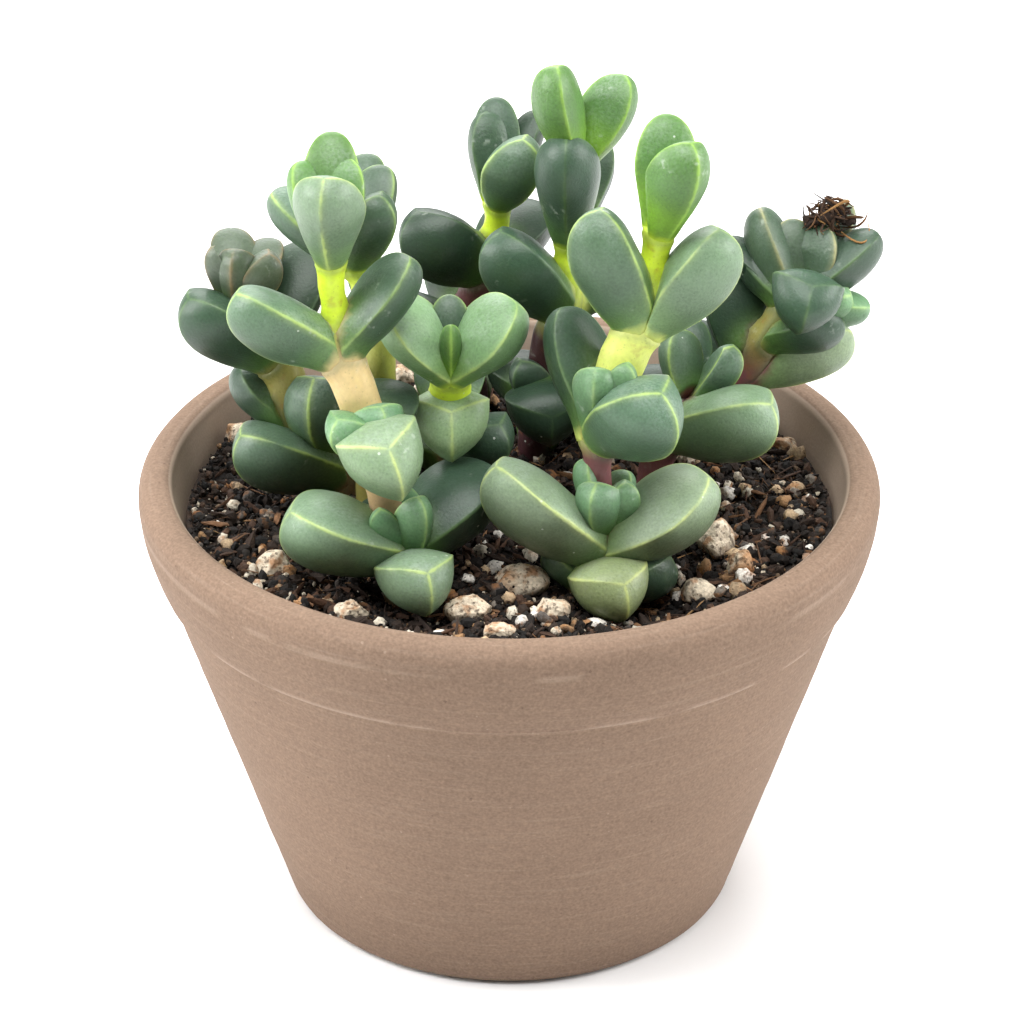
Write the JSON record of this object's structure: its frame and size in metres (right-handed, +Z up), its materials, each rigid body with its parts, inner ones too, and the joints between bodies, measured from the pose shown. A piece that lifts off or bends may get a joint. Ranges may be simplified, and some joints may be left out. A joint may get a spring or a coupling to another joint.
{
  "type": "potted corpuscularia lehmannii",
  "caption": "Small succulent with upright shoots of fat blue-green three-sided leaves in opposite pairs, growing in gritty soil in a round tapered clay pot with a collar.",
  "frame": {"origin": "middle of the pot's flat underside, at the lowest point of the part", "axes": "+Z up along the pot's axis; the pictured side faces -Y, +X is to its right"},
  "size_m": [0.115, 0.115, 0.136],
  "materials": {
    "clay": "unglazed fired clay, taupe brown, fine turning streaks",
    "soil": "dark gritty potting mix",
    "pumice": "rough cream pumice and perlite",
    "foliage": "fleshy blue-green leaf with a pale bloom and yellow-green ridges",
    "dried": "dry brown fibres"
  },
  "bodies": {
    "root": {"pot": "clay", "soil": "soil", "stone_1": "pumice", "stone_2": "pumice", "stone_3": "pumice", "stone_4": "pumice", "stone_5": "pumice", "stone_6": "pumice", "stone_7": "pumice", "stone_8": "pumice", "stone_9": "pumice", "stone_10": "pumice", "stone_11": "pumice", "stone_12": "pumice", "stone_13": "pumice", "stone_14": "pumice", "shoot_front_left": "foliage", "shoot_left_inner": "foliage", "shoot_left": "foliage", "shoot_centre": "foliage", "shoot_back_centre": "foliage", "shoot_back": "foliage", "shoot_front_right": "foliage", "shoot_right_inner": "foliage", "shoot_right": "foliage", "dried_flower": "dried"}
  },
  "joints": []
}
